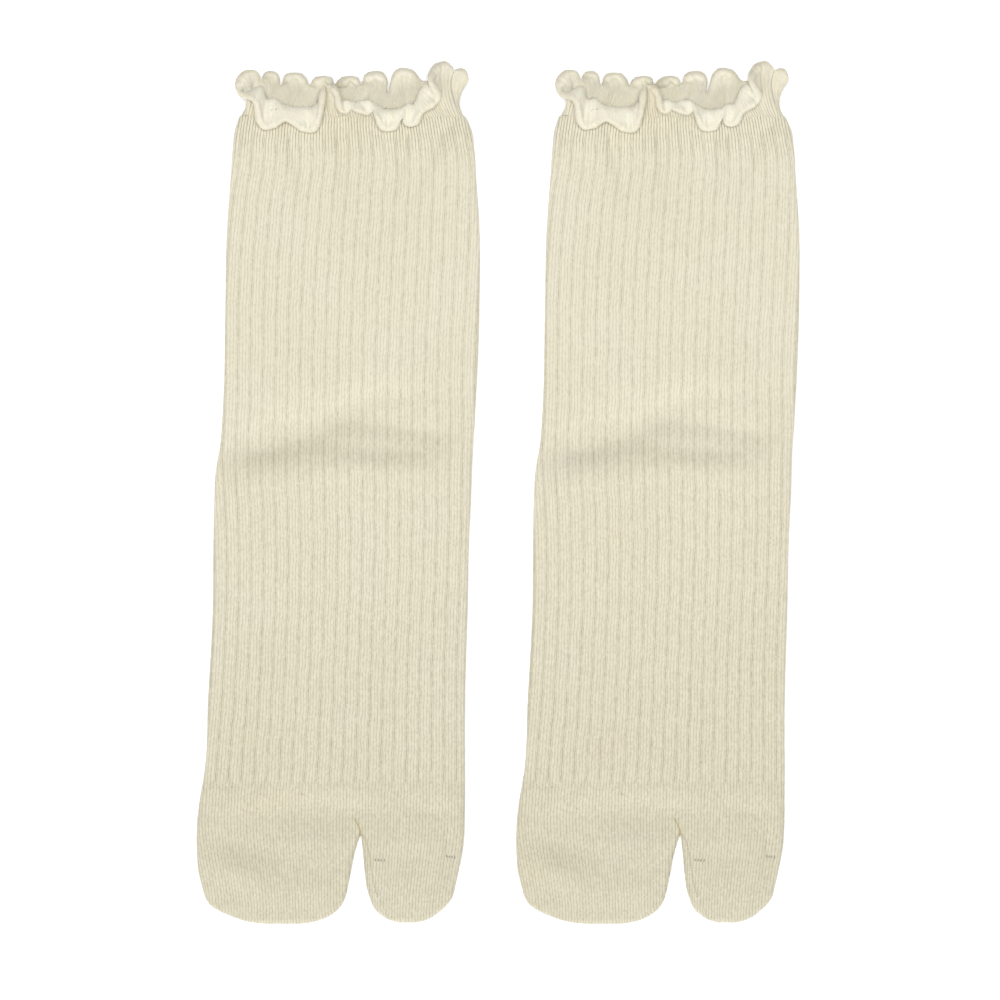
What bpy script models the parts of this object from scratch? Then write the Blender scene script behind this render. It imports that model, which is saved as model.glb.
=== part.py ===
"""A pair of tabi socks, lying flat side by side with their toes towards -Y.

Each sock is three knitted pieces that stop just short of each other at their seams: the ribbed tube of the
leg and foot, the plain toe that splits into two pockets, and the ruffle that rolls over round the mouth.
Sizes are in millimetres, measured from a point midway down the sock. +X is right, +Y towards the mouth and
+Z up, and the underside lies in the plane z = 0.
"""

import math

import bmesh
import bpy
import numpy as np

METRES = 0.001  # of each millimetre below

# Driving sizes
SOCKS_APART = 119.0  # from one sock to the same place on the other
WALL = 1.4  # of the knitted cloth
FOLD = 4.0  # height of the flattened tube over its side folds
SEAM = 0.3  # left between two pieces that are sewn or knitted together
RIBS = 19  # whole ribs on the upper face, between the two that go round the side folds
RIB_HEIGHT = 0.35
RIB_FLANK = 0.22  # share of a rib's width that each of its flanks takes
EDGE_RADIUS = 1.35  # of the ruffle's rolled free edge
BEAD_ANGLES = (-15.0, 37.5, 90.0, 142.5, 195.0)  # degrees round that roll, from the outer face to the inner
NECK = 0.65  # of the edge's radius, by which the flat cloth stops short of the roll's middle
RUFFLE_WALL = 1.15
SHOULDER_LEAN = 0.3  # of a lobe's sides towards the height of the hollows beside it
SHOULDER_BACK = 0.8  # of a lobe's half width, by which its sides stay behind its middle
CROWN_SPREAD = 0.6  # of a lobe's width, at its crown
ROOT_SPREAD = 0.5  # of a lobe's width, at its root
RUFFLE_STEP = 3.4  # most between two columns of points, along the free edge
ROOT_STEP = 0.004  # share of the mouth's width over which its direction is read
SHARES = (0.0, 0.35, 0.7, 1.0)  # rows of points from the root to the roll
NORMAL_PASSES = 3

# Sections of the tube from the mouth to the toe. A tilted section lies further towards the mouth on its
# right. Swell is how far the upper wall rises in the middle, over cloth that is folded or slack beneath it,
# and sole is what the folded heel adds to the lower wall.
TUBE_COLUMNS = ("y", "tilt", "left", "right", "swell", "sole")
TUBE = (
    (140.1, 0.0, -36.6, 47.6, 0.4, 0.0),
    (135.6, 0.0, -38.1, 49.7, 0.5, 0.0),
    (127.5, 0.0, -39.1, 50.9, 0.6, 0.0),
    (117.5, 0.0, -39.8, 51.5, 0.6, 0.0),
    (100.0, 0.7, -41.1, 52.7, 0.6, 0.0),
    (68.0, 4.7, -41.9, 52.8, 0.6, 0.0),
    (41.9, 8.9, -42.4, 52.1, 0.7, 0.0),
    (29.9, 11.2, -43.1, 51.5, 0.8, 0.0),
    (24.0, 11.2, -43.6, 51.2, 1.1, 0.2),
    (19.2, 11.2, -44.4, 51.0, 1.6, 0.6),
    (14.3, 11.2, -45.3, 50.6, 2.2, 1.1),
    (7.6, 10.0, -45.9, 50.2, 2.6, 1.5),
    (-2.8, 7.4, -46.1, 49.8, 2.7, 1.6),
    (-19.5, 3.7, -46.3, 48.9, 2.2, 1.2),
    (-43.7, 0.0, -46.5, 48.4, 1.0, 0.2),
    (-77.2, -1.1, -48.2, 47.4, 0.7, 0.0),
    (-107.5, -1.9, -50.0, 47.4, 0.5, 0.0),
)

# Sections of the toe before it splits, then of each pocket down to its tip.
TOE_COLUMNS = ("y", "tilt", "left", "right")
TOE = (
    (-107.5 - SEAM, -1.9, -50.1, 47.3),
    (-114.4, -1.1, -51.3, 47.4),
    (-121.1, 0.0, -52.3, 47.4),
)
TOE_SWELL = 0.5
TOE_TAPER = 12.0  # over which the swell fades out towards a pocket's tip
POCKET_COLUMNS = ("y", "left", "right")
SMALL_TOES = (
    (-129.3, -52.6, 7.8),
    (-135.2, -52.4, 6.1),
    (-141.2, -51.9, 5.0),
    (-147.1, -50.4, 3.8),
    (-150.8, -49.3, 2.9),
    (-154.2, -46.7, 1.1),
    (-156.8, -41.9, -1.7),
    (-158.7, -37.0, -5.2),
    (-159.9, -32.5, -9.3),
)
SMALL_TOES_TIP = -160.6
BIG_TOE = (
    (-129.3, 8.9, 47.1),
    (-135.2, 9.5, 46.3),
    (-141.2, 10.0, 45.0),
    (-147.1, 10.8, 43.7),
    (-150.8, 11.9, 42.7),
    (-153.8, 13.0, 40.5),
    (-156.1, 14.7, 37.9),
    (-157.9, 17.1, 35.5),
    (-159.2, 19.5, 32.9),
)
BIG_TOE_TIP = -160.1
CROTCH_X = 8.2
CROTCH_TOP = -121.1  # where the valley between the pockets starts in the upper face
CROTCH_MIDDLE = -127.4  # where the two pockets part at half their height

# Soft hollows (minus) and swellings (plus) in the upper wall. Along and across are where the form has
# faded to a third, and turn is the angle of its length from +X.
FORM_COLUMNS = ("x", "y", "along", "across", "turn", "rise")
FORMS = (
    (-17.3, 141.0, 11.0, 12.0, 0.0, 1.1),  # left half of the gaping mouth
    (22.1, 141.0, 11.0, 12.0, 0.0, 1.1),  # right half of the gaping mouth
    (-17.5, 126.0, 15.0, 2.5, 97.0, 0.4),  # gather below the left half
    (2.0, 124.0, 17.0, 3.0, 90.0, 0.4),  # gather below the pinch between them
    (24.0, 126.0, 15.0, 2.5, 84.0, 0.4),  # gather below the right half
    (3.5, 20.5, 46.0, 4.0, 7.0, -1.0),  # hollow at the ankle
    (-2.8, -124.1, 20.0, 4.5, 0.0, -0.5),  # hollow above the pockets
    (-37.4, -138.6, 9.0, 6.0, 0.0, -0.5),  # hollow at the small toes' outer side
)

# Folds of the ruffle in order round the mouth, from the left side fold along the front, round the right
# side fold and back along the rear. Root is the place on the mouth, 0 to 1 along the front and 1 to 2 along
# the rear. The cloth passes through the crown halfway to its free edge. A lobe of the edge has a half width
# and an aim, the angle from +X that it points to; a half width below 0 is a front lobe that stands up
# instead of folding over, and one of 0 is the hollow between two lobes.
FOLD_COLUMNS = ("root", "crown_x", "crown_y", "crown_z", "edge_x", "edge_y", "edge_z", "half", "aim")
FOLDS = (
    (0.000, -33.5, 148.4, 5.0, -35.8, 153.9, 5.5, 3.5, 141.0),
    (0.052, -27.9, 148.8, 7.9, -30.2, 144.0, 10.9, 0.0, 0.0),
    (0.130, -25.1, 145.5, 8.8, -25.5, 136.3, 7.4, 3.0, -90.0),
    (0.215, -19.5, 143.4, 9.0, -18.8, 138.9, 9.6, 0.0, 0.0),
    (0.310, -11.3, 142.7, 9.0, -11.0, 135.0, 7.4, 2.8, -90.0),
    (0.362, -7.3, 144.2, 8.6, -6.3, 141.2, 10.6, 0.0, 0.0),
    (0.400, -3.5, 144.9, 7.4, -3.5, 150.8, 11.6, -1.3, 90.0),
    (0.435, -0.6, 145.3, 7.6, -0.2, 147.9, 11.2, 0.0, 0.0),
    (0.475, 2.4, 145.3, 8.4, 3.3, 140.8, 7.6, 2.0, -80.0),
    (0.518, 6.7, 143.8, 7.0, 7.1, 144.9, 10.4, 0.0, 0.0),
    (0.560, 10.6, 145.3, 8.8, 11.2, 140.1, 7.6, 2.0, -90.0),
    (0.605, 13.9, 143.6, 7.9, 14.3, 140.4, 11.0, 0.0, 0.0),
    (0.665, 18.8, 141.9, 9.0, 19.0, 135.4, 7.4, 2.4, -90.0),
    (0.720, 24.0, 142.7, 9.0, 24.2, 139.1, 10.2, 0.0, 0.0),
    (0.765, 27.3, 144.2, 9.0, 27.0, 136.9, 7.5, 2.0, -90.0),
    (0.815, 29.9, 146.8, 8.8, 31.1, 141.5, 9.6, 0.0, 0.0),
    (0.865, 31.1, 149.4, 9.2, 36.8, 145.6, 9.6, 2.4, -31.0),
    (0.905, 35.2, 148.6, 7.2, 34.8, 152.7, 11.4, 0.0, 0.0),
    (0.940, 39.2, 148.6, 7.4, 38.1, 157.7, 8.4, -3.0, 106.0),
    (0.968, 42.4, 149.0, 6.6, 42.4, 153.8, 8.2, 0.0, 0.0),
    (1.000, 45.0, 148.6, 5.2, 45.8, 157.0, 6.6, -1.9, 75.0),
    (1.050, 45.9, 146.8, 2.6, 47.1, 152.0, 4.0, 0.0, 0.0),
    (1.120, 39.2, 146.8, 1.5, 40.4, 153.4, 1.8, 1.5, 90.0),
    (1.185, 33.3, 147.5, 1.8, 32.2, 151.2, 1.8, 0.0, 0.0),
    (1.265, 25.1, 148.6, 1.9, 25.0, 156.8, 5.4, 2.4, 90.0),
    (1.360, 18.4, 146.0, 3.0, 18.6, 148.8, 2.4, 0.0, 0.0),
    (1.450, 13.8, 147.9, 2.2, 13.9, 155.4, 5.6, 2.7, 90.0),
    (1.510, 9.1, 146.8, 3.0, 9.1, 150.5, 3.2, 0.0, 0.0),
    (1.575, 4.7, 147.5, 2.4, 4.7, 154.1, 5.8, 2.7, 90.0),
    (1.645, -0.6, 146.8, 2.6, -0.6, 150.5, 3.2, 0.0, 0.0),
    (1.690, -4.7, 147.5, 2.2, -5.0, 154.2, 5.2, 1.9, 90.0),
    (1.745, -9.7, 146.8, 2.8, -10.0, 150.8, 2.4, 0.0, 0.0),
    (1.815, -16.0, 148.2, 2.0, -16.1, 155.5, 5.2, 2.0, 90.0),
    (1.870, -20.6, 146.8, 2.4, -20.6, 150.8, 2.8, 0.0, 0.0),
    (1.920, -24.7, 148.6, 2.2, -25.1, 155.9, 5.2, 1.7, 90.0),
    (1.958, -28.5, 147.1, 2.8, -27.7, 152.7, 3.8, 0.0, 0.0),
)

# Colours, linear
CREAM = (0.78, 0.73, 0.55, 1.0)
PALE_CREAM = (0.84, 0.80, 0.63, 1.0)


def rows_of(table, columns):
    """Each row of a table, as values by column name."""
    return [dict(zip(columns, row)) for row in table]


def dome(share):
    """0 at both side folds and 1 over most of the width."""
    return 1.0 - (2.0 * share - 1.0) ** 4


def forms(x, y):
    """Height that the soft hollows and swellings add at a place on the upper wall."""
    total = 0.0
    for form in rows_of(FORMS, FORM_COLUMNS):
        turn = math.radians(form["turn"])
        east = x - form["x"]
        north = y - form["y"]
        along = (east * math.cos(turn) + north * math.sin(turn)) / form["along"]
        across = (north * math.cos(turn) - east * math.sin(turn)) / form["across"]
        total += form["rise"] * math.exp(-along * along - across * across)
    return total


def rib(share):
    """Height of the ribs at a share of the upper face's width: flat crests between narrow grooves."""
    phase = (share * RIBS) % 1.0
    return RIB_HEIGHT * min(1.0, min(phase, 1.0 - phase) / RIB_FLANK)


def ring_point(turn, left, right, bends, floor, ceiling):
    """One point of a flattened ring as (x, z). Turn runs 0 to 1 over the top, to 2 down the right fold, to 3
    back along the underside and to 4 up the left fold, and bends are the two folds' widths."""
    side = int(turn) % 4
    part = turn % 1.0
    start = left + bends[0]
    end = right - bends[1]
    if side == 0:
        x = start + part * (end - start)
        return x, ceiling(x)
    if side == 2:
        x = end + part * (start - end)
        return x, floor(x)
    x = end if side == 1 else start
    top = ceiling(x)
    bottom = floor(x)
    swing = math.cos(math.pi * part) * (1 if side == 1 else -1)
    bulge = math.sin(math.pi * part)
    x += bends[1] * bulge if side == 1 else -bends[0] * bulge
    return x, (top + bottom) / 2 + swing * (top - bottom) / 2


class Skin:
    """Points and faces of one piece. A point asked for twice is made once."""

    def __init__(self):
        self.points = []
        self.faces = []
        self.known = {}

    def point(self, x, y, z):
        key = (round(x, 4), round(y, 4), round(z, 4))
        if key not in self.known:
            self.known[key] = len(self.points)
            self.points.append(key)
        return self.known[key]

    def face(self, corners):
        corners = [c for i, c in enumerate(corners) if c != corners[i - 1]]
        if len(corners) > 2:
            self.faces.append(corners)

    def strip(self, first, second, closed):
        """Faces between two rows of as many points."""
        for i in range(0 if closed else 1, len(first)):
            self.face([first[i - 1], first[i], second[i], second[i - 1]])

    def split_strip(self, first, second, turned):
        """Triangles between two closed rows. Their diagonals lean the other way from the turned place on, so
        that the two faces of a thin twisted wall match."""
        for i in range(len(first)):
            a, b, c, d = first[i - 1], first[i], second[i], second[i - 1]
            if 0 < i < turned:
                self.face([a, b, c])
                self.face([a, c, d])
            else:
                self.face([a, b, d])
                self.face([b, c, d])

    def zip_rings(self, first, first_turns, second, second_turns):
        """Triangles between two closed rows of different counts, matched by their turn."""
        first_turns = [*first_turns, 4.0]
        second_turns = [*second_turns, 4.0]
        i = 0
        j = 0
        while i < len(first) or j < len(second):
            a = first[i % len(first)]
            b = second[j % len(second)]
            first_step = sum(first_turns[i : i + 2]) if i < len(first) else math.inf
            second_step = sum(second_turns[j : j + 2]) if j < len(second) else math.inf
            if first_step <= second_step:
                self.face([a, first[(i + 1) % len(first)], b])
                i += 1
            else:
                self.face([a, second[(j + 1) % len(second)], b])
                j += 1


def fold_turns(start, steps):
    """Turns strictly inside one side fold."""
    return [start + k / steps for k in range(1, steps)]


def tube_outer_turns():
    shares = [0.0, RIB_FLANK, 1.0 - RIB_FLANK]
    top = [(r + share) / RIBS for r in range(RIBS) for share in shares]
    return top + [1.0] + fold_turns(1.0, 5) + [2.0, 2.5, 3.0] + fold_turns(3.0, 5)


def tube_inner_turns():
    return [i / 12 for i in range(12)] + [1.0, 1.5, 2.0, 2.25, 2.5, 2.75, 3.0, 3.5]


def tube_ring(skin, row, turns, inset):
    """One ring of the tube. Inset is 0 on the ribbed outer skin and the wall on the plain inner one."""
    left, right = row["left"], row["right"]

    def share(x):
        return (x - left) / (right - left)

    def y_at(x):
        return row["y"] + row["tilt"] * (share(x) - 0.5)

    def floor(x):
        return inset + row["sole"] * dome(share(x)) if inset else 0.0

    def ceiling(x):
        top = FOLD + dome(share(x)) * (row["swell"] + forms(x, y_at(x)))
        flat_share = (x - left - FOLD / 2) / (right - left - FOLD)
        return top - inset if inset else top + rib(flat_share)

    ring = []
    bend = FOLD / 2 - inset
    for turn in turns:
        x, z = ring_point(turn, left + inset, right - inset, (bend, bend), floor, ceiling)
        ring.append(skin.point(x, y_at(x), z))
    return ring


def tube_skin():
    """Ribbed outer skin, plain inner skin, and the wall's edge at both ends."""
    skin = Skin()
    rows = rows_of(TUBE, TUBE_COLUMNS)
    layers = []
    for turns, inset in ((tube_outer_turns(), 0.0), (tube_inner_turns(), WALL)):
        rings = [tube_ring(skin, row, turns, inset) for row in rows]
        for first, second in zip(rings, rings[1:]):
            skin.strip(first, second, closed=True)
        layers.append((rings, turns))
    (outer, outer_turns), (inner, inner_turns) = layers
    for end in (0, -1):
        skin.zip_rings(outer[end], outer_turns, inner[end], inner_turns)
    return skin


def half_height(depth, radius):
    """Half the thickness of a rounded rim, this deep inside its outline."""
    if depth >= radius:
        return radius
    return math.sqrt(radius * radius - (radius - depth) ** 2)


def pocket_ring(skin, y, left, right, depth, inset, turns, fade):
    """One ring of a toe pocket, this deep inside its tip."""
    radius = FOLD / 2 - inset
    half = half_height(depth, radius)

    def ceiling(x):
        share = (x - left) / (right - left)
        return FOLD / 2 + half + fade * dome(share) * (TOE_SWELL + forms(x, y))

    def floor(_x):
        return FOLD / 2 - half

    points = [ring_point(turn, left, right, (half, half), floor, ceiling) for turn in turns]
    return [skin.point(x, y, z) for x, z in points]


def close_tip(skin, ring, across):
    """Faces over a pocket's last ring: a strip between its broad sides, and one face at each fold."""
    fold = len(ring) // 2 - across
    broad = ring[:across]
    other = ring[across + fold : 2 * across + fold]
    skin.strip(broad, other[::-1], closed=False)
    skin.face(ring[across - 1 : across + fold + 1])
    skin.face([*ring[2 * across + fold - 1 :], ring[0]])


def toe_half(skin, pocket, tip, is_left, across, inset):
    """One pocket and its half of the cloth above the crotch. Returns its open first row."""
    top = [i / across for i in range(across + 1)]
    under = [2.0 + i / across for i in range(across + 1)]
    if is_left:
        main = under + fold_turns(3.0, 4) + top
        chain = fold_turns(1.0, 4)
    else:
        main = top + fold_turns(1.0, 4) + under
        chain = fold_turns(3.0, 4)
    bend = FOLD / 2 - inset
    previous = None
    first = None
    for row in rows_of(TOE, TOE_COLUMNS):
        sides = (row["left"] + inset, CROTCH_X) if is_left else (CROTCH_X, row["right"] - inset)
        bends = (bend, 0.0) if is_left else (0.0, bend)
        drop = inset if row["y"] == CROTCH_TOP else 0.0

        def y_at(x, row=row, drop=drop):
            return row["y"] + drop + row["tilt"] * ((x - row["left"]) / (row["right"] - row["left"]) - 0.5)

        def ceiling(x, row=row, y_at=y_at):
            share = (x - row["left"]) / (row["right"] - row["left"])
            return FOLD - inset + dome(share) * (TOE_SWELL + forms(x, y_at(x)))

        points = [ring_point(turn, *sides, bends, lambda _x: inset, ceiling) for turn in main]
        ring = [skin.point(x, y_at(x), z) for x, z in points]
        if previous:
            skin.strip(previous, ring, closed=False)
        first = first or ring
        previous = ring
    crotch_y = CROTCH_TOP + inset
    high = ceiling(CROTCH_X)
    for turn in chain:
        part = turn % 1.0 if is_left else 1.0 - turn % 1.0
        y = crotch_y + (CROTCH_MIDDLE - CROTCH_TOP) * math.sin(math.pi * part)
        z = (high + inset) / 2 + (high - inset) / 2 * math.cos(math.pi * part)
        previous = previous + [skin.point(CROTCH_X, y, z)]
    rows = rows_of(pocket, POCKET_COLUMNS)
    length = CROTCH_TOP - tip
    widest = max(row["right"] - row["left"] for row in rows) / 2
    for row in rows:
        y = tip + inset + (row["y"] - tip) * (length - inset) / length
        middle = (row["left"] + row["right"]) / 2
        half_width = (row["right"] - row["left"]) / 2 * (widest - inset) / widest
        depth = y - tip - inset
        fade = min(1.0, depth / TOE_TAPER)
        sides = (middle - half_width, middle + half_width)
        ring = pocket_ring(skin, y, *sides, depth, inset, main + chain, fade)
        skin.strip(previous, ring, closed=True)
        previous = ring
    close_tip(skin, previous, across + 1)
    return first


def toe_skin():
    """Two pockets inside and out, which share the cloth above their crotch."""
    skin = Skin()
    edges = []
    for inset in (0.0, WALL):
        edges.append(
            (
                toe_half(skin, SMALL_TOES, SMALL_TOES_TIP, True, 6, inset),
                toe_half(skin, BIG_TOE, BIG_TOE_TIP, False, 5, inset),
            )
        )
    for outer, inner in zip(*edges):
        skin.strip(outer, inner, closed=False)
    return skin


def edge_stations():
    """The ruffle's folds as stations round the mouth: three for each lobe and one for each hollow."""
    stations = []
    mouth = rows_of(TUBE, TUBE_COLUMNS)[0]
    width = mouth["right"] - mouth["left"]
    folds = rows_of(FOLDS, FOLD_COLUMNS)
    for i, fold in enumerate(folds):
        crown = np.array([fold["crown_x"], fold["crown_y"], fold["crown_z"]])
        edge = np.array([fold["edge_x"], fold["edge_y"], fold["edge_z"]])
        aim = math.radians(fold["aim"])
        half = abs(fold["half"])
        outward = np.array([math.cos(aim), math.sin(aim), 0.0]) * half
        onward = np.array([-math.sin(aim), math.cos(aim), 0.0]) * fold["half"]
        for step in (-1, 0, 1) if half else (0,):
            root = fold["root"] + step * ROOT_SPREAD * half / width
            next_fold = folds[(i + step) % len(folds)]
            lean = np.array([0.0, 0.0, SHOULDER_LEAN])
            crown_lift = lean * (next_fold["crown_z"] - fold["crown_z"])
            edge_lift = lean * (next_fold["edge_z"] - fold["edge_z"])
            back = outward * SHOULDER_BACK * abs(step)
            shoulder = onward * step
            stations.append(
                (root, crown + shoulder * CROWN_SPREAD + crown_lift, edge + shoulder - back + edge_lift)
            )
    return stations


def catmull(values, place):
    """A closed smooth curve through rows of values, at a place counted in rows."""
    count = len(values)
    i = math.floor(place)
    t = place - i
    p0, p1, p2, p3 = (values[(i + k) % count] for k in (-1, 0, 1, 2))
    slope1 = (p2 - p0) / 2
    slope2 = (p3 - p1) / 2
    a = 2 * t**3 - 3 * t**2 + 1
    b = t**3 - 2 * t**2 + t
    return a * p1 + b * slope1 + (1 - a) * p2 + (t**3 - t**2) * slope2


def edge_places(edges):
    """Places along the closed edge curve: every station, and as many between two as their distance needs."""
    places = []
    for i, edge in enumerate(edges):
        gap = np.linalg.norm(edges[(i + 1) % len(edges)] - edge)
        steps = math.ceil(gap / RUFFLE_STEP)
        places.extend(i + k / steps for k in range(steps))
    return places


def mouth_root(root):
    """Middle of the mouth's wall at a root place, and the direction out of it."""
    row = rows_of(TUBE, TUBE_COLUMNS)[0]
    left, right = row["left"], row["right"]
    bend = FOLD / 2

    def ceiling(x):
        share = (x - left) / (right - left)
        return FOLD - WALL / 2 + dome(share) * (row["swell"] + forms(x, row["y"]))

    def at(place):
        place %= 2.0
        rear = place >= 1.0
        x = left + (right - left) * (2.0 - place if rear else place)
        nearest = min(x - left, right - x)
        if nearest >= bend:
            return np.array([x, 0.0, WALL / 2 if rear else ceiling(x)])
        rise = math.sqrt(max(0.0, 1.0 - (1.0 - nearest / bend) ** 2)) * (bend - WALL / 2)
        inward = WALL / 2 * (1.0 - nearest / bend) * (1 if x - left < bend else -1)
        return np.array([x + inward, 0.0, bend - rise if rear else bend + rise])

    here = at(root)
    ahead = at(root + ROOT_STEP) - at(root - ROOT_STEP)
    outward = np.cross(ahead, (0.0, 1.0, 0.0))
    return here + (0.0, row["y"] + SEAM, 0.0), outward / np.linalg.norm(outward)


def ruffle_skin():
    """The wavy band: outer face, rolled free edge, inner face, and the root that meets the mouth."""
    stations = edge_stations()
    roots = np.array([station[0] for station in stations])
    crowns = np.array([station[1] for station in stations])
    edges = np.array([station[2] for station in stations])
    places = edge_places(edges)
    count = len(places)
    root_places = np.interp(places, range(len(roots) + 1), [*roots, roots[0] + 2.0])
    grid = np.zeros((count, len(SHARES) + 1, 3))
    along_profile = np.zeros_like(grid)
    out_of_mouth = np.zeros((count, 3))
    for j, place in enumerate(places):
        root, out_of_mouth[j] = mouth_root(root_places[j])
        crown = catmull(crowns, place)
        edge = catmull(edges, place)
        control = 2 * crown - (root + edge) / 2
        neck = 1.0 - NECK * EDGE_RADIUS / np.linalg.norm(edge - control)
        for i, t in enumerate((*(share * neck for share in SHARES), 1.0)):
            grid[j, i] = (1 - t) ** 2 * root + 2 * t * (1 - t) * control + t * t * edge
            along_profile[j, i] = (1 - t) * (control - root) + t * (edge - control)
    onward = np.roll(grid, -1, axis=0) - np.roll(grid, 1, axis=0)
    normal = np.cross(onward, along_profile)
    normal /= np.linalg.norm(normal, axis=2, keepdims=True)
    for _ in range(NORMAL_PASSES):
        normal = (np.roll(normal, 1, axis=0) + 2 * normal + np.roll(normal, -1, axis=0)) / 4
        normal /= np.linalg.norm(normal, axis=2, keepdims=True)
    normal[:, 0] = out_of_mouth
    onward /= np.linalg.norm(onward, axis=2, keepdims=True)
    skin = Skin()
    rings = []
    for j in range(count):
        outer = []
        inner = []
        for i in range(len(SHARES)):
            half = (WALL if i == 0 else RUFFLE_WALL) / 2
            outer.append(grid[j, i] + normal[j, i] * half)
            inner.append(grid[j, i] - normal[j, i] * half)
        side = normal[j, -1]
        ahead = np.cross(side, onward[j, -1])
        bead = []
        for angle in BEAD_ANGLES:
            angle = math.radians(angle)
            bead.append(grid[j, -1] + EDGE_RADIUS * (math.cos(angle) * side + math.sin(angle) * ahead))
        rings.append([skin.point(*point) for point in outer + bead + inner[::-1]])
    turned = len(SHARES) + len(BEAD_ANGLES) // 2
    for j in range(count):
        skin.split_strip(rings[j - 1], rings[j], turned)
    return skin


def make_mesh(name, skin, material):
    """A closed mesh in metres with its faces pointing out."""
    mesh = bpy.data.meshes.new(name)
    points = [[value * METRES for value in point] for point in skin.points]
    mesh.from_pydata(points, [], skin.faces)
    shape = bmesh.new()
    shape.from_mesh(mesh)
    bmesh.ops.recalc_face_normals(shape, faces=shape.faces)
    shape.to_mesh(mesh)
    shape.free()
    mesh.shade_smooth()
    mesh.set_sharp_from_angle(angle=math.radians(50))
    mesh.materials.append(material)
    return mesh


def make_material(name, colour):
    material = bpy.data.materials.new(name)
    material.use_nodes = True
    shader = material.node_tree.nodes["Principled BSDF"]
    shader.inputs["Base Color"].default_value = colour
    shader.inputs["Roughness"].default_value = 0.9
    shader.inputs["Metallic"].default_value = 0.0
    return material


def main():
    for old in list(bpy.data.objects):
        bpy.data.objects.remove(old)
    body = make_material("cream_rib_knit", CREAM)
    edge = make_material("pale_rolled_knit", PALE_CREAM)
    meshes = (
        make_mesh("sock_tube", tube_skin(), body),
        make_mesh("sock_toe", toe_skin(), body),
        make_mesh("sock_ruffle", ruffle_skin(), edge),
    )
    socks = []
    for side, place in (("left", -SOCKS_APART / 2), ("right", SOCKS_APART / 2)):
        for mesh in meshes:
            piece = bpy.data.objects.new(f"{side}_{mesh.name}", mesh)
            piece.location.x = place * METRES
            bpy.context.scene.collection.objects.link(piece)
            socks.append(piece)
    bpy.context.view_layer.update()
    corners = np.array([piece.matrix_world @ v.co for piece in socks for v in piece.data.vertices])
    low = corners.min(axis=0)
    high = corners.max(axis=0)
    for piece in socks:
        piece.location.x -= (low[0] + high[0]) / 2
        piece.location.y -= (low[1] + high[1]) / 2
        piece.location.z -= low[2]


main()
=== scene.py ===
# A pair of cream tabi socks in rib knit, lying flat, with a rolled ruffle round each open mouth. The sizes
# are in millimetres from a point midway down each sock, +X right, +Y towards the mouth and +Z up.

import math

import bmesh
import bpy
import numpy as np
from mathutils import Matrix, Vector
from mathutils.bvhtree import BVHTree


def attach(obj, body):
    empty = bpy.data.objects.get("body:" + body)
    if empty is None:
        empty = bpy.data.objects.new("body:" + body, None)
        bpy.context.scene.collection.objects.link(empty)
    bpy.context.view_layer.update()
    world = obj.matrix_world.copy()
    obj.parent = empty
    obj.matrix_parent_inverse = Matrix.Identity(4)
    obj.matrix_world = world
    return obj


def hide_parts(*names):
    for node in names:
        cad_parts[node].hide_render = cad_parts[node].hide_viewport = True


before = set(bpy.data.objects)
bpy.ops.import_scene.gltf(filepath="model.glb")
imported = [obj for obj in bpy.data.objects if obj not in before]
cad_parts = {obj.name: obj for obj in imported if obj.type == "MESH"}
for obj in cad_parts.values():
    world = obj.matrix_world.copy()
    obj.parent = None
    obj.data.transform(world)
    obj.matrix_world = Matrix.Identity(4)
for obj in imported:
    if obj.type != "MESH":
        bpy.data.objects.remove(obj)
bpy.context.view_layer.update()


# ------------------------------------------------
# Cream cotton knit. The yarn is matt, with a fine nap that catches light at the edges of the form. Each
# stitch is a V of two slanting legs. In the rib, every fourth column of stitches is purl: it sinks between
# its neighbours, and the shade in it is painted as a thin, slightly greyer line that breaks up where the
# stitches are uneven. The valleys between the other columns are painted darker as shade too.

COURSE = 0.85  # mm from one row of stitches to the next
RIB_STITCHES = 4  # three plain and one purl


def linear(hex_colour):
    """An sRGB hex colour as linear red, green, blue and alpha."""
    parts = [int(hex_colour[i : i + 2], 16) / 255 for i in (1, 3, 5)]
    return (*(p / 12.92 if p <= 0.04045 else ((p + 0.055) / 1.055) ** 2.4 for p in parts), 1.0)


def add(tree, kind, inputs=None, **settings):
    """Adds a node with its settings. An input is set to a value, or linked to an output socket."""
    node = tree.nodes.new(kind)
    for name, value in settings.items():
        setattr(node, name, value)
    for key, value in (inputs or {}).items():
        if isinstance(value, bpy.types.NodeSocket):
            tree.links.new(value, node.inputs[key])
        else:
            node.inputs[key].default_value = value
    return node


def new_material(name, settings):
    """A material and its shader, with settings of the shader by the names of their inputs."""
    material = bpy.data.materials.new(name)
    material.use_nodes = True
    shader = material.node_tree.nodes["Principled BSDF"]
    for key, value in settings.items():
        shader.inputs[key].default_value = value
    return material, shader


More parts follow.
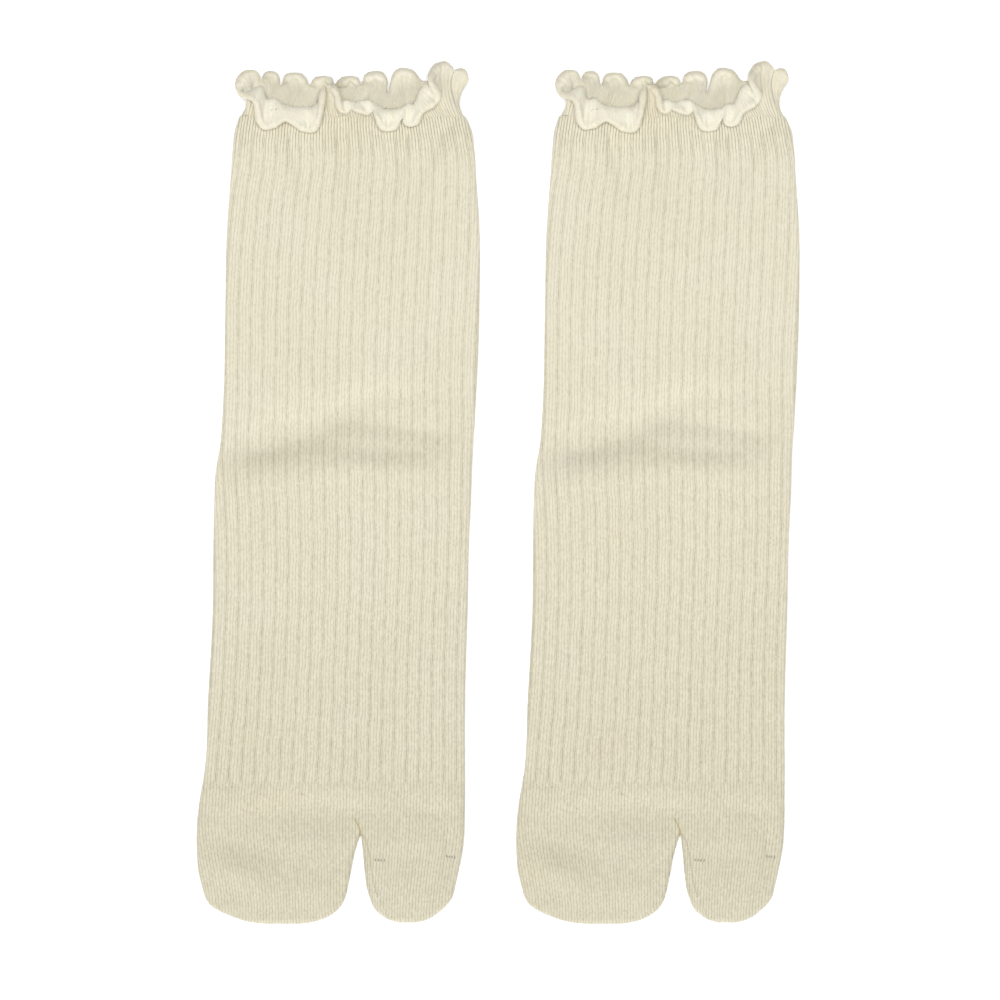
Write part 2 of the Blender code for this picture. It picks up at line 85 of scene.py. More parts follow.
def knit_material(name, face, shade, valley_shade, rib, welt, foot_painted_shade, speckle, sheen, inner=None, soak=0.0):
    """Knitted cotton, patterned by the map of stitches: across in columns and down in rows. The valleys'
    darkness
    is painted shade: how dark the valleys between columns are. Rib is the purl columns' darkness, painted as
    the shade of the sunken columns, the rows they run between, and what the plain knit beyond them is
    darker by. Welt is the extra darkness of the valleys near the mouth, partly the single ribs' own deeper
    valleys and partly painted shade beneath the ruffle, and the rows between which it fades out. The foot's
    darkness is painted shade: what the knit is painted darker by towards the toe, to offset the lamp beyond
    the toes that lights it more there. Inner is a paler colour painted on the inner face and the end of the
    roll, as light on the shaded inside of the mouth and on the rolled edge, with the row where it starts and
    how many rows it takes to change. Sheen is the nap's, and soak is how much light a thin raised edge lets
    through."""
    finish = {
        "Roughness": 0.92,
        "Specular IOR Level": 0.18,
        "Sheen Weight": sheen,
        "Sheen Roughness": 0.4,
        "Subsurface Weight": soak,
        "Subsurface Radius": (1.0, 0.8, 0.5),
        "Subsurface Scale": 0.0015,
    }
    material, shader = new_material(name, finish)
    tree = material.node_tree
    stitches = add(tree, "ShaderNodeUVMap", uv_map="stitches").outputs["UV"]
    place = add(tree, "ShaderNodeTexCoord").outputs["Object"]
    # the columns wander, stitches are darker in dashes along a column, and each is a little uneven
    wander = add(tree, "ShaderNodeTexNoise", {"Vector": stitches, "Scale": 0.22, "Detail": 2.0})
    stretched = add(tree, "ShaderNodeMapping", {"Vector": stitches, "Scale": (0.9, 0.22, 1.0)})
    dashes = add(tree, "ShaderNodeTexNoise", {"Vector": stretched.outputs[0], "Scale": 1.0, "Detail": 3.0})
    uneven = add(tree, "ShaderNodeTexNoise", {"Vector": stitches, "Scale": 1.1, "Detail": 2.0})
    patches = add(tree, "ShaderNodeTexNoise", {"Vector": place, "Scale": 28.0, "Detail": 2.0})
    split = add(tree, "ShaderNodeSeparateXYZ", {"Vector": stitches})
    values = {
        "across": split.outputs["X"],
        "down": split.outputs["Y"],
        "wander": wander.outputs["Fac"],
        "dashes": dashes.outputs["Fac"],
        "uneven": uneven.outputs["Fac"],
    }

    def run(steps):
        """Adds a Math node for each step: its name, its operation, and numbers or earlier steps' names."""
        for step, operation, *inputs in steps:
            sources = {i: values.get(x, x) if isinstance(x, str) else x for i, x in enumerate(inputs)}
            clamp = operation.startswith("CLAMP_")
            kind = operation.removeprefix("CLAMP_")
            values[step] = add(tree, "ShaderNodeMath", sources, operation=kind, use_clamp=clamp).outputs[0]

    purl_shade_dark, rib_start, rib_end, plain_dark = rib
    welt_and_shade_dark, welt_start, welt_end = welt
    run(
        (
            ("shift", "MULTIPLY_ADD", "wander", 0.14, -0.07),
            ("u", "ADD", "across", "shift"),
            ("v", "MULTIPLY_ADD", "uneven", 0.7, "down"),
            # 0 at the middle of a column of stitches, and half at the valley beside it
            ("u_half", "ADD", "u", 0.5),
            ("u_part", "FRACT", "u_half"),
            ("u_off", "SUBTRACT", "u_part", 0.5),
            ("side", "ABSOLUTE", "u_off"),
            ("turn", "MULTIPLY", "u_off", math.pi),
            ("body", "COSINE", "turn"),
            # legs of the V
            ("lean", "MULTIPLY_ADD", "side", 1.3, "v"),
            ("leg_part", "FRACT", "lean"),
            ("leg_turn", "MULTIPLY", "leg_part", math.pi),
            ("leg", "SINE", "leg_turn"),
            ("leg_high", "MULTIPLY_ADD", "leg", 0.45, 0.55),
            ("stitch", "MULTIPLY", "body", "leg_high"),
            ("leg_row", "FLOOR", "lean"),
            ("u_twice", "MULTIPLY", "u", 2.0),
            ("leg_column", "FLOOR", "u_twice"),
        )
    )
    cell = add(tree, "ShaderNodeCombineXYZ", {0: values["leg_column"], 1: values["leg_row"]})
    values["yarn"] = add(tree, "ShaderNodeTexWhiteNoise", {"Vector": cell.outputs[0]}).outputs["Value"]
    run(
        (
            # valleys between columns, painted darker as the shade in them, and deeper where the knit is a
            # welt of single ribs; near the mouth this also paints the shade beneath the ruffle
            ("welt_way", "SUBTRACT", welt_end, "down"),
            ("welt", "CLAMP_DIVIDE", "welt_way", welt_end - welt_start),
            ("ribbed_dark", "MULTIPLY_ADD", "welt", welt_and_shade_dark, valley_shade),
            ("below_rib", "SUBTRACT", "v", rib_end),
            ("plain", "CLAMP_MULTIPLY", "below_rib", 0.6),
            ("valley_dark", "MULTIPLY_ADD", "plain", plain_dark, "ribbed_dark"),
            ("valley_rise", "CLAMP_MULTIPLY_ADD", "side", 6.0, -2.0),
            ("valley_broken", "MULTIPLY_ADD", "dashes", 1.2, 0.4),
            ("valley_line", "MULTIPLY", "valley_rise", "valley_broken"),
            ("valley", "MULTIPLY", "valley_line", "valley_dark"),
            # sunken purl columns, painted darker as the shade in them
            ("rib_place", "MULTIPLY_ADD", "u", 1.0 / RIB_STITCHES, 0.5),
            ("rib_part", "FRACT", "rib_place"),
            ("rib_off", "SUBTRACT", "rib_part", 0.5),
            ("rib_side", "ABSOLUTE", "rib_off"),
            ("purl", "CLAMP_MULTIPLY_ADD", "rib_side", -7.0 * RIB_STITCHES, 1.5),
            ("purl_broken", "CLAMP_MULTIPLY_ADD", "dashes", 2.0, -0.2),
            ("purl_line", "MULTIPLY", "purl", "purl_broken"),
            ("below_mouth", "SUBTRACT", "v", rib_start),
            ("starts", "CLAMP_MULTIPLY", "below_mouth", 0.15),
            ("ends", "SUBTRACT", 1.0, "plain"),
            ("there", "MULTIPLY", "starts", "ends"),
            ("purl_shade_dark", "MULTIPLY", "there", purl_shade_dark),
            ("purl_mark", "MULTIPLY", "purl_line", "purl_shade_dark"),
            # how much of the paler face shows
            ("leg_gap", "MULTIPLY_ADD", "leg", -speckle, speckle),
            ("mottle", "MULTIPLY_ADD", "uneven", 1.2 * speckle, -0.6 * speckle),
            ("yarn_mark", "MULTIPLY_ADD", "yarn", 1.8 * speckle, -0.9 * speckle),
            ("dark_a", "ADD", "valley", "purl_mark"),
            ("dark_b", "ADD", "dark_a", "mottle"),
            ("dark_c", "ADD", "dark_b", "yarn_mark"),
            ("dark_d", "ADD", "dark_c", "leg_gap"),
            ("dark_e", "MULTIPLY_ADD", "plain", 0.92 * plain_dark, "dark_d"),
            # painted shade, which rises from row 93 to the toe, to offset the lamp beyond the toes that
            # lights the foot more there
            ("foot", "CLAMP_MULTIPLY_ADD", "v", 0.00505, -0.47),
            ("dark", "MULTIPLY_ADD", "foot", foot_painted_shade, "dark_e"),
            ("face", "CLAMP_SUBTRACT", 1.0, "dark"),
        )
    )
    # slow patches of a warmer yarn
    warm = add(tree, "ShaderNodeMapRange", {0: patches.outputs["Fac"], 1: 0.35, 2: 0.7})
    # inputs 6 and 7 of a colour mix are its two colours, and output 2 is the mixed one
    tint = add(
        tree,
        "ShaderNodeMix",
        {0: warm.outputs[0], 6: linear(face[0]), 7: linear(face[1])},
        data_type="RGBA",
    )
    # a paler colour from row 21 on, painted light on the inner face and the end of the roll
    if inner:
        painted_light_colour, inner_row, inner_rows = inner
        run((("inside", "CLAMP_MULTIPLY_ADD", "down", 1.0 / inner_rows, 0.5 - inner_row / inner_rows),))
        inputs = {0: values["inside"], 6: tint.outputs[2], 7: linear(painted_light_colour)}
        tint = add(tree, "ShaderNodeMix", inputs, data_type="RGBA")
    colour = add(
        tree,
        "ShaderNodeMix",
        {0: values["face"], 6: linear(shade), 7: tint.outputs[2]},
        data_type="RGBA",
    )
    bump = add(tree, "ShaderNodeBump", {"Height": values["stitch"], "Distance": 0.00018, "Strength": 0.6})
    tree.links.new(colour.outputs[2], shader.inputs["Base Color"])
    tree.links.new(bump.outputs["Normal"], shader.inputs["Normal"])
    return material


rib_knit = knit_material(
    "cream_cotton_rib_knit",
    face=("#ddd8c4", "#dcd6bf"),
    shade="#8c8368",
    valley_shade=0.36,
    rib=(0.55, 4.0, 291.0, 0.06),
    welt=(0.60, 8.0, 19.0),
    foot_painted_shade=0.157,
    speckle=0.12,
    sheen=0.6,
)

# ------------------------------------------------
# Leg, heel, foot and split toe: one tube knitted without a seam, flattened. The rib runs from the mouth to
# the toe, and the plain toe parts into a pocket for the big toe and one for the others. The heel pocket is
# folded away beneath the ankle, which lifts the cloth there.

MM = 0.001
SOCKS = {"left": -59.55, "right": 59.45}  # middle of each sock, across the pair
MOUTHWARD = 0.46  # from the sock's own zero to that of the pair
WALL = 1.4
FOLD = 4.0  # height of the flattened tube over its side folds
BEND = FOLD / 2
RIBS = 19  # between the first and the last groove on the upper face
COLUMN_STEPS = 4  # points across each column of stitches
SIDE_STEPS = 18  # points between each end groove and the side of the sock
UNDER_STEPS = 44  # points across the lower face
ROW_STEP = 1.65  # between two rings
INNER_ROWS = 14  # rings of the inner wall
INNER_REACH = 4.5  # how far up and down the sock an inner ring looks for a hollow, to keep below it
ROOM_INSIDE = 0.12  # least height between the upper wall and the lower one
LIMIT_SHARPNESS = 8.0  # how sharply the upper wall stops sinking there
COLUMN_WIDTH = 1.17  # of the stitches in the toe
CROTCH_STEPS = 8  # points round the edge of the web between the two pockets
WEB_ROWS = 6
TIP_ROWS = 36
TIP_SPREAD = 0.8  # below 1, the rings of a pocket stand closer together towards its tip

# Sections from the mouth to where the toe parts. A tilted section lies further towards the mouth on its
# right. Swell is how far the upper wall rises over what is folded or slack beneath, and sole is what the
# folded heel adds to the lower wall inside.
LEG_COLUMNS = ("y", "tilt", "left", "right", "swell", "sole")
LEG = (
    (140.1, 0.0, -36.6, 47.6, 0.4, 0.0),
    (135.6, 0.0, -38.1, 49.7, 0.5, 0.0),
    (127.5, 0.0, -39.1, 50.9, 0.6, 0.0),
    (117.5, 0.0, -39.8, 51.5, 0.6, 0.0),
    (100.0, 0.7, -41.1, 52.7, 0.6, 0.0),
    (68.0, 4.7, -41.9, 52.8, 0.6, 0.0),
    (41.9, 8.9, -42.4, 52.1, 0.7, 0.0),
    (29.9, 11.2, -43.1, 51.5, 0.6, 0.0),
    (24.0, 11.2, -43.6, 51.2, 0.7, 0.0),
    (19.2, 11.2, -44.4, 51.0, 1.2, 0.2),
    (14.3, 11.2, -45.3, 50.6, 2.2, 0.8),
    (9.5, 10.6, -45.7, 50.3, 2.8, 1.4),
    (4.6, 9.4, -45.9, 50.1, 2.9, 1.6),
    (-2.8, 7.4, -46.1, 49.8, 2.7, 1.6),
    (-19.5, 3.7, -46.3, 48.9, 2.2, 1.2),
    (-43.7, 0.0, -46.5, 48.4, 1.0, 0.2),
    (-77.2, -1.1, -48.2, 47.4, 0.7, 0.0),
    (-107.5, -1.9, -50.0, 47.4, 0.5, 0.0),
    (-114.4, -1.1, -51.3, 47.4, 0.5, 0.0),
    (-121.1, 0.0, -52.3, 47.4, 0.5, 0.0),
)

# Where the first and the last groove of the rib lie
GROOVE_COLUMNS = ("y", "first", "last")
GROOVES = (
    (141.0, -34.6, 46.2),
    (132.0, -35.9, 48.0),
    (123.7, -36.7, 49.4),
    (108.8, -38.9, 49.3),
    (93.9, -40.4, 48.9),
    (71.6, -41.4, 47.8),
    (49.3, -41.6, 46.7),
    (34.4, -42.0, 46.4),
    (19.5, -42.8, 46.8),
    (4.6, -42.2, 46.4),
    (-10.2, -41.5, 46.3),
    (-32.6, -41.2, 45.5),
    (-54.9, -41.9, 44.6),
    (-77.2, -43.0, 44.2),
    (-99.5, -44.8, 44.3),
    (-121.1, -46.4, 44.2),
)

# Pockets of the toe, from below the crotch to the tip
POCKET_COLUMNS = ("y", "left", "right")
SMALL_TOES = (
    (-129.3, -52.6, 7.8),
    (-135.2, -52.4, 6.1),
    (-141.2, -51.9, 5.0),
    (-147.1, -50.4, 3.8),
    (-150.8, -49.3, 2.9),
    (-154.2, -46.7, 1.1),
    (-156.8, -41.9, -1.7),
    (-158.7, -37.0, -5.2),
    (-159.9, -32.5, -9.3),
    (-160.6, -26.0, -15.0),
)
BIG_TOE = (
    (-129.3, 8.9, 47.1),
    (-135.2, 9.5, 46.3),
    (-141.2, 10.0, 45.0),
    (-147.1, 10.8, 43.7),
    (-150.8, 11.9, 42.7),
    (-153.8, 13.0, 40.5),
    (-156.1, 14.7, 37.9),
    (-157.9, 17.1, 35.5),
    (-159.2, 19.5, 32.9),
    (-160.1, 23.0, 29.0),
)
CROTCH_X = 8.2
CROTCH_TOP = -121.1
CROTCH_MIDDLE = -127.4
TOE_SWELL = 0.5  # of a pocket's upper wall
TOE_TAPER = 12.0  # from the tip to where that swell is whole
TOE_END = 160.0  # how far down the pockets reach
TOE_WIDENING = 0.10  # share by which the columns of stitches close up towards the tip
TOE_LINE = (-107.5, -1.9)  # y at the middle of the sock, and how far it lies further down on the right
TOE_LINE_WIDTH = 97.4  # of the sock there

# Soft hollows (minus) and swellings (plus) of the upper wall: along and across are where each has faded to
# a third, and turn is the angle of its length from +X.
FORM_COLUMNS = ("x", "y", "along", "across", "turn", "rise")
FORMS = (
    (-17.3, 141.0, 11.0, 12.0, 0.0, 1.1),  # left half of the gaping mouth
    (22.1, 141.0, 11.0, 12.0, 0.0, 1.1),  # right half of the gaping mouth
    (-17.0, 129.0, 13.0, 2.5, 104.0, -1.8),  # gathers below the ruffle
    (2.0, 125.0, 17.0, 2.6, 92.0, -1.6),
    (24.5, 129.0, 14.0, 2.2, 82.0, -2.0),
    (38.0, 132.0, 13.0, 2.6, 64.0, -2.0),
    (-31.0, 128.0, 12.0, 2.0, 108.0, -0.8),
    (11.0, 127.0, 12.0, 1.8, 88.0, -0.8),
    (-30.0, 16.0, 15.0, 4.8, 6.0, -1.82),  # ankle
    (-9.0, 22.0, 12.0, 5.5, 15.0, -0.91),
    (4.0, 30.5, 10.0, 5.0, 12.0, -0.78),
    (16.0, 25.0, 12.0, 4.6, -4.0, -1.04),
    (35.0, 21.5, 12.0, 4.8, -6.0, -1.1),
    (19.0, 15.5, 15.0, 4.2, 0.0, -1.3),
    (-24.0, 24.0, 14.0, 4.5, 8.0, -1.2),
    (-37.0, 20.5, 8.0, 4.2, 8.0, -0.9),
    (16.0, 36.0, 16.0, 5.0, 0.0, -0.8),
    (-2.0, 30.0, 34.0, 7.0, 4.0, -0.7),
    (-30.0, 5.0, 11.0, 4.5, 8.0, 0.35),
    (2.0, 9.0, 14.0, 4.5, 10.0, 0.35),
    (27.0, 8.0, 13.0, 4.5, -4.0, 0.35),
    (-4.0, -117.8, 17.0, 3.4, -3.0, -1.7),  # above the crotch
    (-34.0, -120.5, 15.0, 3.2, 3.0, -0.94),
    (-34.0, -131.0, 18.0, 4.8, -14.0, -1.22),  # small toes
    (-37.0, -142.0, 12.0, 4.4, -20.0, 1.08),
    (-8.0, -121.0, 22.0, 8.0, 0.0, -1.0),
    (-14.0, -148.0, 18.0, 4.5, 4.0, 0.41),
    (41.6, -133.0, 12.0, 2.2, 84.0, -1.62),  # big toe
    (32.0, -132.0, 12.0, 3.0, 84.0, 0.41),
    (36.0, -119.0, 10.0, 3.0, -8.0, -1.08),
    (26.0, -136.0, 9.0, 5.0, 0.0, -0.54),
    (34.0, 70.0, 26.0, 6.0, 96.0, -0.25),  # slack of the leg
    (-20.0, 84.0, 30.0, 7.0, 86.0, 0.2),
    (10.0, -60.0, 34.0, 9.0, 80.0, 0.2),
)


def table(rows, columns):
    """A table's columns by name, from its lowest y to its highest."""
    return dict(zip(columns, np.array(sorted(rows)).T))


def smooth(places, values, at):
    """Values of a smooth curve through others, which stand at rising places."""
    slopes = np.gradient(values, places)
    i = np.clip(np.searchsorted(places, at, side="right") - 1, 0, len(places) - 2)
    step = places[i + 1] - places[i]
    t = (at - places[i]) / step
    a = 2 * t**3 - 3 * t**2 + 1
    b = (t**3 - 2 * t**2 + t) * step
    c = (t**3 - t**2) * step
    return a * values[i] + b * slopes[i] + (1 - a) * values[i + 1] + c * slopes[i + 1]


def ease(value, low, high):
    """0 below low, 1 above high, and a soft rise between them."""
    t = np.clip((value - low) / (high - low), 0.0, 1.0)
    return t * t * (3 - 2 * t)


def dome(share):
    """0 at both side folds and 1 over most of the width."""
    return 1.0 - (2.0 * np.clip(share, 0.0, 1.0) - 1.0) ** 4


# Low waves all over, where the cloth is slack: the angle, the width and the start of each
chance = np.random.RandomState(12)
SLACK = list(zip(chance.uniform(0, 3.14, 9), chance.uniform(3.5, 11.0, 9), chance.uniform(0, 6.28, 9)))
SLACK_RISE = 0.006  # share of a wave's width


def forms(x, y):
    """Height that the hollows, the swellings and the cloth's slight unevenness add to the upper wall."""
    total = np.zeros(np.broadcast(x, y).shape)
    for row in FORMS:
        form = dict(zip(FORM_COLUMNS, row))
        turn = math.radians(form["turn"])
        east, north = x - form["x"], y - form["y"]
        along = (east * math.cos(turn) + north * math.sin(turn)) / form["along"]
        across = (north * math.cos(turn) - east * math.sin(turn)) / form["across"]
        total += form["rise"] * np.exp(-along * along - across * across)
    for turn, width, phase in SLACK:
        total += SLACK_RISE * width * np.sin((x * math.cos(turn) + y * math.sin(turn)) / width + phase)
    return total


def lift(swell, x, y):
    """How far the upper wall rises over its flat height. It stops softly before it meets the lower wall."""
    lowest = 2 * WALL - FOLD + ROOM_INSIDE
    above = swell + forms(x, y) - lowest
    return lowest + np.logaddexp(0.0, LIMIT_SHARPNESS * above) / LIMIT_SHARPNESS


def half_ring(outer, inner, bend, path):
    """Places on one half of a flattened ring, by their way along it from its outer side. Returns x, and how
    far each place is from the ring's middle height, as a share."""
    toward = np.sign(inner - outer)
    flat = np.abs(inner - outer) - 2 * bend
    quarter = bend * math.pi / 2
    near = np.clip(path / bend, 0.0, math.pi / 2)
    far = np.clip((path - quarter - flat) / bend, 0.0, math.pi / 2)
    on_flat = np.clip(path - quarter, 0.0, flat)
    x = outer + toward * (bend * (1 - np.cos(near)) + on_flat + bend * np.sin(far))
    return x, np.sin(near) * np.cos(far)


leg = table(LEG, LEG_COLUMNS)
grooves = table(GROOVES, GROOVE_COLUMNS)
rib_wales = np.linspace(0.0, RIBS * RIB_STITCHES, RIBS * RIB_STITCHES * COLUMN_STEPS + 1)
UPPER = len(rib_wales) + 2 * SIDE_STEPS  # points from the left side over the top to the right one
to_side = np.linspace(0.0, 1.0, SIDE_STEPS + 1)


def tube_rings(y_middle, inset):
    """Rings of the tube, one for each y at the sock's middle line, that end where they start. Returns the
    points, and their stitches counted across from the first groove and down from the mouth."""
    row = {name: smooth(leg["y"], leg[name], y_middle)[:, None] for name in LEG_COLUMNS[1:]}
    middle = y_middle[:, None]
    left, right = row["left"], row["right"]
    quarter = BEND * math.pi / 2
    length = right - left - 2 * BEND + 2 * quarter
    ends = []
    for name in ("first", "last"):
        x = smooth(grooves["y"], grooves[name], y_middle)[:, None]
        edge = np.minimum(x - left, right - x)
        on_fold = BEND * np.arccos(np.clip(1 - edge / BEND, -1.0, 1.0))
        way = np.where(edge < BEND, on_fold, quarter + edge - BEND)
        ends.append(way if name == "first" else length - way)
    start, end = ends
    pitch = (end - start) / rib_wales[-1]
    share = rib_wales / rib_wales[-1]
    # each rib strays a little from its course, and the outermost grooves keep to theirs
    wobble = 0.13 * np.sin(0.31 * middle + 2.2 * np.sin(9 * share) + 4 * share)
    wobble = wobble + 0.08 * np.sin(0.83 * middle + 31 * share)
    rib_path = start + (end - start) * share + wobble * np.sin(np.pi * share) ** 0.3
    upper = np.hstack([start * to_side[:-1], rib_path, end + (length - end) * to_side[1:]])
    path = np.hstack([upper, length * np.linspace(1.0, 0.0, UNDER_STEPS + 1)[1:]])
    side_wales = (length - end) * to_side[1:] / pitch
    wales = np.hstack([start * (to_side[:-1] - 1) / pitch, np.tile(rib_wales, (len(y_middle), 1))])
    wales = np.hstack([wales, rib_wales[-1] + side_wales])
    under = length * np.linspace(0.0, 1.0, UNDER_STEPS + 1)[1:] / pitch
    wales = np.hstack([wales, wales[:, -1:] + under])
    bend = BEND - inset
    inner_length = right - left - 2 * BEND + bend * math.pi
    x, reach = half_ring(left + inset, right - inset, bend, path * inner_length / length)
    share = (x - left) / (right - left)
    y = middle + row["tilt"] * (share - 0.5)
    rise = lift(row["swell"], x, y)
    if inset:  # the few rows inside keep below the hollows between them
        beside = [lift(row["swell"], x, y + reach_y) for reach_y in (-INNER_REACH, INNER_REACH)]
        rise = np.min([rise, *beside], axis=0)
    top = FOLD - inset + dome(share) * rise
    bottom = inset + (row["sole"] * dome(share) if inset else 0.0)
    side = np.where(np.arange(path.shape[1]) < UPPER, 1.0, -1.0)
    z = (top + bottom) / 2 + side * reach * (top - bottom) / 2
    return np.stack([x, y, z], axis=2), np.stack([wales, (LEG[0][0] - y) / COURSE], axis=2)


PURL_HALF = 0.35  # of a column's width, from the middle of a purl column to where the rib rises
RIB_RISE = 0.30  # of the plain columns over the purl ones
WALE_RISE = 0.07  # of the middle of each column over its sides
WELT_RISE = 0.08  # of the sides of its columns
WELT_WALE_RISE = 0.16  # of their middles over that
WELT_FADE = (4.0, 11.0)  # how far below the mouth the welt passes into the rib
PLAIN_RISE = 0.32  # keeps the smooth toe level with the ribs


def unit(vectors):
    """Vectors of length 1 in the same directions."""
    return vectors / np.linalg.norm(vectors, axis=-1, keepdims=True)


def raise_rib(points, stitches):
    """The tube with its plain columns raised and its purl ones left sunken. Near the mouth it is a welt of
    single columns, and below the rib it is smooth."""
    across = np.gradient(points, axis=1)
    across[:, 0] = across[:, -1] = points[:, 1] - points[:, -2]
    normal = unit(np.cross(np.gradient(points, axis=0), across))
    u, v = stitches[..., 0], stitches[..., 1]
    from_purl = np.abs((u + RIB_STITCHES / 2) % RIB_STITCHES - RIB_STITCHES / 2)
    wale = np.abs(np.cos(np.pi * u)) ** 0.8
    welt = 1 - ease(v * COURSE, *WELT_FADE)
    rib = RIB_RISE * (1 - np.exp(-((from_purl / PURL_HALF) ** 2))) + WALE_RISE * wale
    from_mouth = ease(v * COURSE, 0.0, 2.0)
    height = rib * (1 - welt) + (WELT_RISE + WELT_WALE_RISE * wale) * welt * from_mouth
    toe_line = TOE_LINE[0] + TOE_LINE[1] * points[..., 0] / TOE_LINE_WIDTH
    plain = 1 - ease(points[..., 1] - toe_line, -0.6, 1.6)
    above_crotch = ease(points[..., 1], CROTCH_TOP + 1.0, TOE_LINE[0] - 2.0)
    height = height * (1 - plain) + PLAIN_RISE * plain * above_crotch
    height = height * ease(points[..., 2], BEND, FOLD - 0.4)
    return points + normal * height[..., None]


def put_in_scene(name, data):
    """A new object of the scene, at the origin."""
    made = bpy.data.objects.new(name, data)
    bpy.context.scene.collection.objects.link(made)
    return made


class Cloth:
    """Points and faces of a piece, with the stitch at each corner of a face."""

    def __init__(self):
        self.points = []
        self.faces = []
        self.stitches = []
        self.known = {}

    def lay(self, points, stitches):
        """Adds a grid. Points that coincide become one, and faces without area are left out."""
        index = np.zeros(points.shape[:2], int)
        for place in np.ndindex(index.shape):
            key = tuple(np.round(points[place], 3))
            if key not in self.known:
                self.known[key] = len(self.points)
                self.points.append(key)
            index[place] = self.known[key]
        for i, j in np.ndindex(index.shape[0] - 1, index.shape[1] - 1):
            corners = {}
            for place in ((i, j), (i, j + 1), (i + 1, j + 1), (i + 1, j)):
                corners.setdefault(index[place], stitches[place])
            if len(corners) > 2:
                self.faces.append(list(corners))
                self.stitches.extend(corners.values())

    def piece(self, name, middle, material):
        """A closed object at the origin with its faces outwards, moved to its sock."""
        mesh = bpy.data.meshes.new(name)
        places = (np.array(self.points) + (middle, MOUTHWARD, 0.0)) * MM
        mesh.from_pydata(places.tolist(), [], self.faces)
        mesh.uv_layers.new(name="stitches").data.foreach_set("uv", np.array(self.stitches).ravel())
        shape = bmesh.new()
        shape.from_mesh(mesh)
        bmesh.ops.recalc_face_normals(shape, faces=shape.faces)
        shape.to_mesh(mesh)
        shape.free()
        mesh.shade_smooth()
        mesh.set_sharp_from_angle(angle=math.radians(60))
        mesh.materials.append(material)
        return put_in_scene(name, mesh)


def pocket_grid(above, pocket, inset, way, is_upper):
    """Rings of one pocket of the toe, from the cloth above the crotch to the tip. Way is each column's way
    from the sock's side to the crotch as a share, and goes past 1 round the fold at the crotch."""
    rows = table(pocket, POCKET_COLUMNS)
    order = np.arange(len(rows["y"]), dtype=float)
    at = order[-1] * (1 - np.linspace(0.0, 1.0, TIP_ROWS) ** TIP_SPREAD)
    y, left, right = (smooth(order, rows[name], at) for name in POCKET_COLUMNS)
    tip = rows["y"][0]
    y = tip + inset + (y - tip) * (CROTCH_TOP - tip - inset) / (CROTCH_TOP - tip)
    widest = (right - left).max() / 2
    middle = (left + right) / 2
    half_width = (right - left) / 2 * (widest - inset) / widest
    depth = np.clip(y - tip - inset, 0.0, BEND - inset)
    bend = np.sqrt(np.maximum((BEND - inset) ** 2 - (BEND - inset - depth) ** 2, 0.0))
    bend = np.clip(bend, 1e-4, half_width)[:, None]
    outward = -1 if middle[0] < CROTCH_X else 1
    outer, inner = ((middle + side * half_width)[:, None] for side in (outward, -outward))
    quarter = bend * math.pi / 2
    straight = 2 * half_width[:, None] - 2 * bend + quarter
    path = np.where(way <= 1.0, way * straight, straight + (way - 1.0) * quarter)
    x, reach = half_ring(outer, inner, bend, path)
    share = 0.5 + (x - middle[:, None]) / (2 * half_width[:, None])
    fade = ease(y - tip, 0.0, TOE_TAPER)[:, None]
    top = BEND + bend + fade * dome(share) * lift(TOE_SWELL, x, y[:, None])
    bottom = BEND - bend
    z = (top + bottom) / 2 + np.where(is_upper, 1.0, -1.0) * reach * (top - bottom) / 2
    rings = np.stack([x, np.broadcast_to(y[:, None], x.shape), z], axis=2)
    web = [above + (rings[0] - above) * t for t in np.linspace(0.0, 1.0, WEB_ROWS + 1)[:-1]]
    return np.concatenate([web, rings])


def lay_toe(cloth, ring, stitches, inset):
    """Both pockets, below the tube's last ring."""
    high = np.argmin(np.abs(ring[:UPPER, 0] - CROTCH_X))
    low = UPPER + np.argmin(np.abs(ring[UPPER:, 0] - CROTCH_X))
    turn = np.linspace(0.0, math.pi, CROTCH_STEPS + 1)[1:-1]
    web = np.zeros((len(turn), 3))
    web[:, 0] = ring[high, 0] + (ring[low, 0] - ring[high, 0]) * turn / math.pi
    web[:, 1] = ring[high, 1] + (CROTCH_MIDDLE - CROTCH_TOP) * np.sin(turn)
    web[:, 2] = (ring[high, 2] + ring[low, 2]) / 2 + (ring[high, 2] - ring[low, 2]) / 2 * np.cos(turn)
    web_way = 2.0 - np.abs(1 - 2 * turn / math.pi)
    columns = np.arange(len(ring))
    # the small toes' ring runs from the crotch beneath round the left side and over the top, and the big
    # toe's on over the top, round the right side and back beneath
    for pocket, run in (
        (SMALL_TOES, np.concatenate([columns[low:-1], columns[: high + 1]])),
        (BIG_TOE, columns[high : low + 1]),
    ):
        is_small = pocket is SMALL_TOES
        is_upper = run < UPPER
        side = 0 if is_small else UPPER - 1
        steps = np.concatenate([[0.0], np.cumsum(np.linalg.norm(np.diff(ring[run], axis=0), axis=1))])
        from_side = np.abs(steps - steps[np.flatnonzero(run == side)[0]])
        way = from_side / np.where(is_upper == is_upper[-1], from_side[-1], from_side[0])
        order = slice(None) if is_small else slice(None, None, -1)
        above = np.concatenate([ring[run], web[order], ring[run[:1]]])
        way = np.concatenate([way, web_way[order], way[:1]])
        web_upper = turn[order] < math.pi / 2
        is_upper = np.concatenate([is_upper, web_upper, is_upper[:1]])
        across = np.concatenate([stitches[run, 0], np.full(len(turn), stitches[run[-1], 0])])
        across = np.concatenate([across, stitches[run[-1:], 0]])
        grid = pocket_grid(above, pocket, inset, way, is_upper)
        lean = 1 + TOE_WIDENING * ease(-grid[..., 1], -CROTCH_TOP, TOE_END)
        columns_there = across[None, :] + (grid[..., 0] * lean - above[:, 0]) / COLUMN_WIDTH
        cloth.lay(grid, np.stack([columns_there, (LEG[0][0] - grid[..., 1]) / COURSE], axis=2))


